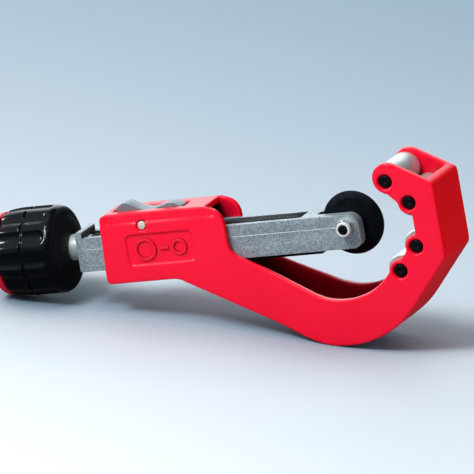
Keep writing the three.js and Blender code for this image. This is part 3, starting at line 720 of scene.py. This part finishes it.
def axle():
    low, high = span("axle_bolt")
    head_face = span("slide_casting")[1].y + AXLE["head_gap"]
    shank = solid_rod(AXLE["shank_r"], low.y, head_face + AXLE["overlap"])
    shank = turned(softened(shank, AXLE["corner"]), "Y", segments=48)
    bolt = joined(hexagon(head_face, high.y), shank)
    piece("axle_bolt_fine", bolt, "slide", BLACK, ["axle_bolt"], sharp=30)

    low, high = span("axle_nut")
    hex_end = low.y + NUT["collar"]
    collar = ring(NUT["bore_r"], NUT["collar_r"], low.y, hex_end + NUT["overlap"])
    collar = turned(softened(collar, NUT["corner"], 4), "Y", segments=64)
    piece("axle_nut_fine", hexagon(hex_end, high.y), "slide", NUT_ZINC, ["axle_nut"],
          sharp=30)
    # The collar is the same zinc as the hex, drawn paler: a painted highlight.
    piece("axle_nut_collar", collar, "slide", HIGHLIT_ZINC, [], sharp=30)

    slots = {"axle_washer": "zinc_steel", "wheel_spacer_near": "bright_steel",
             "wheel_spacer_far": "bright_steel"}
    for node, slot in slots.items():
        low, high = span(node)
        washer = ring(AXLE_WASHER["bore_r"], (high.x - low.x) / 2, low.y, high.y)
        washer = turned(softened(washer, AXLE_WASHER["corner"]), "Y", segments=64)
        piece(node + "_fine", washer, "slide", ZINC, [node])


# ------------------------------------------------------------------ feed screw and knob

THREAD = {"from": -138.2, "to": -27, "pitch": 2.0, "depth": 0.95, "flat": 0.15, "run_in": 1.5}
THREAD_ROWS = {"apart": 0.2, "margin": 0.1, "shoulder": 0.02}
SCREW_ENDS = {"r": 3, "tip_r": 2.6, "chamfer": 0.4}
SCREW_JOURNAL = {"from": -155, "r": 3.9}
KNOB = {"shoulder": -151.8, "face_r": 17.3, "widest": -157, "narrows": -172, "rear_r": 20.8}
KNOB_ROWS = {"face": 8, "shoulder": 14, "barrel_apart": 0.22}
KNOB_HUB = {"r": 6.9, "floor": -151.8, "edge": 0.3, "lip": 0.2}
KNOB_BORE = {"r": 4.2, "narrows": -156.3, "rear_r": 3.3}
KNOB_HOLLOW = {"r": 15, "floor": -171.5}
KNOB_GROOVE = {"at": -169.4, "half": 1.0, "depth": 1.3, "floor_share": 0.55}
KNOB_REAR_EDGE = 0.6
FLUTES = {"count": 12, "depth": 1.5, "front": -155.6, "half_angle": 0.185, "scoop": 2.5, "run_in": 3.2}
CAP = {"joint": -183.3, "spigot_r": 14.7, "spigot_wall": 2, "corner": 0.9}
CAP_FACE = [(0, 0.6), (9, 0.5), (10.2, 0)]          # (radius, distance from the cap's rear end)
CAP_RIM = [(-4, 0), (-1.4, 0.9), (0, 2.8)]          # the same, with the radius from the rim's
WASHER_BORES = {"inner_thrust_washer": 4.2, "outer_thrust_washer": 4.2, "knob_washer": 2}
WASHER_CORNER = 0.15
KNOB_SCREW = {"neck": -173.1, "head_r": 3.6, "face_r": 2.4, "chamfer": 1.2, "shank_r": 1.2, "corner": 0.2}
KNOB_SOCKET = {"r": 1.4, "depth": 1.2}


def thread_depth(x, angle):
    """How far a right-hand thread is cut in, with narrow crests and roots."""
    phase = (x / THREAD["pitch"] - angle / tau) % 1
    slope = abs(phase - 0.5) * 2
    return THREAD["depth"] * smoothstep(THREAD["flat"], 1 - THREAD["flat"], slope)


def feed_screw():
    low, high = span("feed_screw")
    start, end, margin = THREAD["from"], THREAD["to"], THREAD_ROWS["margin"]
    root_r = high.y - THREAD["depth"]
    r, tip_r, chamfer = SCREW_ENDS["r"], SCREW_ENDS["tip_r"], SCREW_ENDS["chamfer"]

    def threaded(x):
        taper = smoothstep(0, THREAD["run_in"], min(x - start, end - x))
        return (x, lambda angle: root_r + (THREAD["depth"] - thread_depth(x, angle)) * taper)

    rows = [plain(low.x, 0), plain(low.x, tip_r), plain(low.x + chamfer, r), plain(SCREW_JOURNAL["from"], r),
            plain(SCREW_JOURNAL["from"], SCREW_JOURNAL["r"]), plain(start, SCREW_JOURNAL["r"]),
            plain(start + THREAD_ROWS["shoulder"], root_r)]
    steps = int((end - start) / THREAD_ROWS["apart"])
    rows += [threaded(start + margin + (end - start - 2 * margin) * i / steps) for i in range(steps + 1)]
    rows += [plain(end, r), plain(high.x - chamfer, r), plain(high.x, tip_r), plain(high.x, 0)]
    piece("feed_screw_fine", skinned(rows, 48), "feed", BLACK, ["feed_screw"], sharp=60)


def flute_depth(x, angle):
    """Finger flutes round the grip, scooped out at their front ends."""
    step = tau / FLUTES["count"]
    offset = abs((angle + step / 2) % step - step / 2)
    across = max(0, 1 - (offset / FLUTES["half_angle"]) ** 2)
    start = FLUTES["front"] - FLUTES["scoop"] * (1 - across ** 0.5)
    return FLUTES["depth"] * across * smoothstep(0, FLUTES["run_in"], start - x)


def knob_outline(low, high, r):
    """(x, radius) down the knob's outside: domed face, round shoulder, barrel, narrow rear."""
    rows = []
    face_from = KNOB_HUB["r"] + KNOB_HUB["edge"]
    for i in range(KNOB_ROWS["face"]):
        t = i / KNOB_ROWS["face"]
        rows.append((high.x + (KNOB["shoulder"] - high.x) * t * t,
                     face_from + (KNOB["face_r"] - face_from) * t))
    for i in range(KNOB_ROWS["shoulder"]):
        angle = pi / 2 * i / KNOB_ROWS["shoulder"]
        x = KNOB["shoulder"] + (KNOB["widest"] - KNOB["shoulder"]) * (1 - cos(angle))
        rows.append((x, KNOB["face_r"] + (r - KNOB["face_r"]) * sin(angle)))
    count = ceil((KNOB["widest"] - low.x) / KNOB_ROWS["barrel_apart"])
    for i in range(count + 1):
        x = KNOB["widest"] + (low.x - KNOB["widest"]) * i / count
        t = max(0, (KNOB["narrows"] - x) / (KNOB["narrows"] - low.x))
        edge = KNOB_REAR_EDGE * smoothstep(1, 0, x - low.x)
        rows.append((x, r + (KNOB["rear_r"] - r) * t * t - edge))
    return rows


def gripped(x, radius):
    """A row of the knob's outside with its groove and flutes cut in."""
    from_groove = abs(x - KNOB_GROOVE["at"]) / KNOB_GROOVE["half"]
    grooved = radius - KNOB_GROOVE["depth"] * smoothstep(1, KNOB_GROOVE["floor_share"], from_groove)
    return (x, lambda angle: min(radius - flute_depth(x, angle), grooved))


def knob_body():
    low, high = span("knob_body")
    hub_r, floor_x, bore = KNOB_HUB["r"], KNOB_HUB["floor"], KNOB_BORE
    inside = [(low.x, KNOB_HOLLOW["r"]), (KNOB_HOLLOW["floor"], KNOB_HOLLOW["r"]),
              (KNOB_HOLLOW["floor"], bore["rear_r"]), (bore["narrows"], bore["rear_r"]),
              (bore["narrows"], bore["r"]), (floor_x, bore["r"]), (floor_x, hub_r),
              (high.x - KNOB_HUB["lip"], hub_r)]
    rows = [plain(*point) for point in inside]
    rows += [gripped(*point) for point in knob_outline(low, high, high.y)]
    piece("knob_body_fine", skinned(rows, 288, closed=True), "feed", BLACK_PLASTIC,
          ["knob_body"], sharp=50)


def knob_cap():
    low, high = span("knob_cap")
    rim, joint_x, spigot_r = (high.y - low.y) / 2, CAP["joint"], CAP["spigot_r"]
    inner_r = spigot_r - CAP["spigot_wall"]
    profile = [(radius, low.x + rise) for radius, rise in CAP_FACE]
    profile += [(rim + radius, low.x + rise) for radius, rise in CAP_RIM]
    profile += [(rim, joint_x), (spigot_r, joint_x), (spigot_r, high.x), (inner_r, high.x),
                (inner_r, joint_x), (0, joint_x)]
    cap = turned(softened(profile, CAP["corner"], 5), "X", segments=128)
    piece("knob_cap_fine", cap, "feed", RED_PLASTIC, ["knob_cap"])


def feed_hardware():
    for node, bore_r in WASHER_BORES.items():
        low, high = span(node)
        washer = softened(ring(bore_r, (high.y - low.y) / 2, low.x, high.x), WASHER_CORNER)
        piece(node + "_fine", turned(washer, "X", segments=64), "feed", ZINC, [node])
    low, high = span("knob_screw")
    neck, head_r, shank_r = KNOB_SCREW["neck"], KNOB_SCREW["head_r"], KNOB_SCREW["shank_r"]
    socket_r, socket_floor = KNOB_SOCKET["r"], low.x + KNOB_SOCKET["depth"]
    profile = [(0, socket_floor), (socket_r, socket_floor), (socket_r, low.x),
               (KNOB_SCREW["face_r"], low.x), (head_r, low.x + KNOB_SCREW["chamfer"]), (head_r, neck),
               (shank_r, neck), (shank_r, high.x), (0, high.x)]
    screw = turned(softened(profile, KNOB_SCREW["corner"]), "X", segments=48)
    piece("knob_screw_fine", screw, "feed", ZINC, ["knob_screw"])


# ------------------------------------------------------------------ quick release

RIVET_CORNER = 0.35
PIVOT_PIN = {"crown": 0.1, "edge": 0.15, "neck_r": 1.5, "neck": 1.2, "before_clip": 0.3, "corner": 0.4}
SPRING = {"wire_r": 0.4, "coil_r": 3.1, "turns": 3, "lean": 0.8, "steps_a_turn": 24}
FRONT_LEG = {"from_rivet": 1.2, "drop": 0.4}
REAR_LEG = {"reach": 8, "drop": 0.9}


def release_lever():
    refined("release_lever", "lever", LEVER_CAST, 0.7, 4)
    refined("half_nut", "lever", BRONZE, 0.2)
    for i in (1, 2):
        low, high = span(f"half_nut_rivet_{i}")
        centre = (low + high) / 2
        rivet = softened(solid_rod((high.x - low.x) / 2, low.y, high.y), RIVET_CORNER, 4)
        rivet = turned(rivet, "Y", (centre.x, 0, centre.z), 40)
        piece(f"half_nut_rivet_{i}_fine", rivet, "lever", PIN_STEEL,
              [f"half_nut_rivet_{i}"])


def pivot():
    """The pin that the lever rocks on, with a neck for its clip."""
    low, high = span("release_pin")
    centre = (low + high) / 2
    r, neck_r = (high.x - low.x) / 2, PIVOT_PIN["neck_r"]
    neck_from = span("pin_clip")[0].y - PIVOT_PIN["before_clip"]
    neck_to = neck_from + PIVOT_PIN["neck"]
    profile = [(0, low.y - PIVOT_PIN["crown"]), (r, low.y + PIVOT_PIN["edge"]), (r, neck_from),
               (neck_r, neck_from), (neck_r, neck_to), (r, neck_to), (r, high.y), (0, high.y)]
    pin = turned(softened(profile, PIVOT_PIN["corner"], 4), "Y", (centre.x, 0, centre.z), 64)
    piece("release_pin_fine", pin, "frame", PIN_STEEL, ["release_pin"])
    refined("pin_clip", "frame", BLACK, 0.1)


def lever_spring():
    """A torsion spring round the pin; its front leg stops short of the rivet, which swings up."""
    pin = middle("release_pin")
    wire_r, coil_r, steps = SPRING["wire_r"], SPRING["coil_r"], SPRING["steps_a_turn"]
    first_y = span("lever_spring")[0].y + wire_r
    front_x = span("half_nut_rivet_1")[0].x - FRONT_LEG["from_rivet"]
    path = [(front_x, first_y, pin.z + coil_r - FRONT_LEG["drop"])]
    for k in range(SPRING["turns"] * steps + 1):
        angle = pi / 2 + tau * k / steps
        y = first_y + SPRING["lean"] * k / steps
        path.append((pin.x + coil_r * cos(angle), y, pin.z + coil_r * sin(angle)))
    last_y = path[-1][1]
    path.append((pin.x - REAR_LEG["reach"], last_y, pin.z + coil_r - REAR_LEG["drop"]))
    piece("lever_spring_fine", swept(path, wire_r), "frame", SPRING_STEEL,
          ["lever_spring"])


# ------------------------------------------------------------------ stage

FLOOR_HALF = 3.0            # metres
# The paper's colour near and far from the lamp: a painted falloff of the lamp's light
FLOOR_NEAR = (0.74, 0.8, 0.85)
FLOOR_FAR = (0.37, 0.51, 0.62)
FLOOR_FADE = {"towards": (0.35, 0.94, 0), "from_mm": -240, "to_mm": 520}
# Painted shadow under and round the tool, from how hemmed in the floor is
FLOOR_SHADE = {"color": (0.17, 0.26, 0.34), "reach_mm": 110, "openness": (0.42, 0.94)}


def floor():
    """Paper whose colour darkens away from the lamp, a painted falloff of its light, with a painted shadow
    under and round the tool; its underside lets the camera see the tool.
    """
    look = Look("floor", FLOOR_NEAR, 0.6, Specular_IOR_Level=0.1)
    along = look.nodes.new("ShaderNodeVectorMath")
    along.operation = "DOT_PRODUCT"
    along.inputs[1].default_value = Vector(FLOOR_FADE["towards"]).normalized()
    look.links.new(look.nodes.new("ShaderNodeNewGeometry").outputs["Position"], along.inputs[0])
    fade = (FLOOR_FADE["from_mm"] * MM, FLOOR_FADE["to_mm"] * MM)
    distance = look.span_of(along.outputs["Value"], fade, (0, 1))
    # Painted falloff: the paper goes darker away from the lamp.
    painted_falloff = look.mixed(distance, FLOOR_NEAR, FLOOR_FAR)
    # Painted shadow: the floor darkens under and round the tool.
    look.set("Base Color", look.shaded(painted_falloff, FLOOR_SHADE["color"], FLOOR_SHADE["reach_mm"],
                                       FLOOR_SHADE["openness"], only_own=False))
    clear = look.nodes.new("ShaderNodeBsdfTransparent")
    mix = look.nodes.new("ShaderNodeMixShader")
    geometry = look.nodes.new("ShaderNodeNewGeometry")
    look.links.new(geometry.outputs["Backfacing"], mix.inputs["Fac"])
    look.links.new(look.shader.outputs["BSDF"], mix.inputs[1])
    look.links.new(clear.outputs["BSDF"], mix.inputs[2])
    look.links.new(mix.outputs["Shader"], look.nodes["Material Output"].inputs["Surface"])
    mesh = bpy.data.meshes.new("floor")
    half = FLOOR_HALF
    corners = [(-half, -half, 0), (half, -half, 0), (half, half, 0), (-half, half, 0)]
    mesh.from_pydata(corners, [], [(0, 1, 2, 3)])
    obj = bpy.data.objects.new("floor", mesh)
    obj.visible_glossy = False
    mesh.materials.append(look.material)
    bpy.context.scene.collection.objects.link(obj)


WORLD = {"strength": 0.28, "in_reflections": 0.05, "color": (0.85, 0.93, 1.0)}
GLOWS = [               # seen in reflections only: (azimuth, elevation, cosines it spans, strength)
    (-60, 50, (0.5, 0.95), 0.8),
    (204, 11, (0.8, 0.97), 1.4),
]
LAMPS_AIM = (0, 0, 0.04)


def compass(azimuth, elevation):
    """Unit vector towards a compass direction; azimuth 0 is the viewer's side."""
    a, e = radians(azimuth), radians(elevation)
    return Vector((sin(a) * cos(e), -cos(a) * cos(e), sin(e)))


def world_light():
    """Even pale light, with soft glows that only reflections see."""
    world = bpy.data.worlds.new("studio")
    bpy.context.scene.world = world
    world.use_nodes = True
    nodes, links = world.node_tree.nodes, world.node_tree.links
    direction = nodes.new("ShaderNodeTexCoord").outputs["Generated"]
    total = nodes.new("ShaderNodeValue").outputs["Value"]
    total.default_value = WORLD["in_reflections"]
    for azimuth, elevation, cosines, strength in GLOWS:
        near = nodes.new("ShaderNodeVectorMath")
        near.operation = "DOT_PRODUCT"
        near.inputs[1].default_value = compass(azimuth, elevation)
        links.new(direction, near.inputs[0])
        glow = nodes.new("ShaderNodeMapRange")
        glow.interpolation_type = "SMOOTHSTEP"
        glow.inputs["From Min"].default_value, glow.inputs["From Max"].default_value = cosines
        glow.inputs["To Max"].default_value = strength
        links.new(near.outputs["Value"], glow.inputs["Value"])
        added = nodes.new("ShaderNodeMath")
        links.new(total, added.inputs[0])
        links.new(glow.outputs["Result"], added.inputs[1])
        total = added.outputs["Value"]
    chosen = nodes.new("ShaderNodeMapRange")
    chosen.inputs["To Min"].default_value = WORLD["strength"]
    links.new(total, chosen.inputs["To Max"])
    links.new(nodes.new("ShaderNodeLightPath").outputs["Is Glossy Ray"], chosen.inputs["Value"])
    nodes["Background"].inputs["Color"].default_value = (*WORLD["color"], 1)
    links.new(chosen.outputs["Result"], nodes["Background"].inputs["Strength"])


def soft_lamp(name, azimuth, elevation, distance, size, watts, color=(1, 1, 1)):
    """A square lamp that looks at the tool's middle from a compass direction."""
    light = bpy.data.lights.new(name, "AREA")
    light.energy = watts
    light.size = size
    light.color = color
    obj = bpy.data.objects.new(name, light)
    away = compass(azimuth, elevation)
    obj.location = Vector(LAMPS_AIM) + away * distance
    obj.rotation_euler = away.to_track_quat("Z", "Y").to_euler()
    bpy.context.scene.collection.objects.link(obj)
    return obj


def lights():
    """The lamps, with distances and sizes in metres."""
    soft_lamp("key", azimuth=-31, elevation=49, distance=1.6, size=0.5, watts=26, color=(1, 0.98, 0.98))
    soft_lamp("back", azimuth=200, elevation=22, distance=1.2, size=0.8, watts=2, color=(0.95, 0.98, 1))
    soft_lamp("sparkle", azimuth=-50, elevation=60, distance=0.9, size=0.06, watts=0.8)
    glint = soft_lamp("glint", azimuth=-70, elevation=24, distance=1.2, size=0.3, watts=12)
    glint.visible_diffuse = False
    fill = soft_lamp("fill", azimuth=95, elevation=20, distance=1.2, size=0.8, watts=3.4)
    fill.visible_glossy = False


CAMERA = {"azimuth": 20.6, "elevation": 16.3, "roll": 1.3, "distance": 6.0, "seen_mm": 232.604}
CAMERA_AIM = (0.0, 0.0, 0.045)      # the point that the shift is measured from
CAMERA_SHIFT = {"x": 0.024684, "y": -0.009367}      # shares of the picture's width
CAMERA_SEES_TO = 50                 # metres


def camera():
    """A long lens on a square picture, from the right of the near side and a little above."""
    data = bpy.data.cameras.new("camera")
    obj = bpy.data.objects.new("camera", data)
    away = compass(CAMERA["azimuth"], CAMERA["elevation"])
    obj.location = Vector(CAMERA_AIM) + away * CAMERA["distance"]
    level = away.to_track_quat("Z", "Y").to_matrix().to_4x4()
    roll = Matrix.Rotation(radians(CAMERA["roll"]), 4, "Z")
    obj.matrix_world = Matrix.Translation(obj.location) @ level @ roll
    data.lens = data.sensor_width * CAMERA["distance"] / (CAMERA["seen_mm"] * MM)
    data.shift_x = CAMERA_SHIFT["x"]
    data.shift_y = CAMERA_SHIFT["y"]
    data.clip_end = CAMERA_SEES_TO
    bpy.context.scene.collection.objects.link(obj)
    bpy.context.scene.camera = obj


# ------------------------------------------------------------------ build

frame_casting()
rollers()
slide()
cutting_wheel()
axle()
feed_screw()
knob_body()
knob_cap()
feed_hardware()
release_lever()
pivot()
lever_spring()
floor()
world_light()
lights()
camera()
bpy.context.scene.view_settings.view_transform = "Standard"
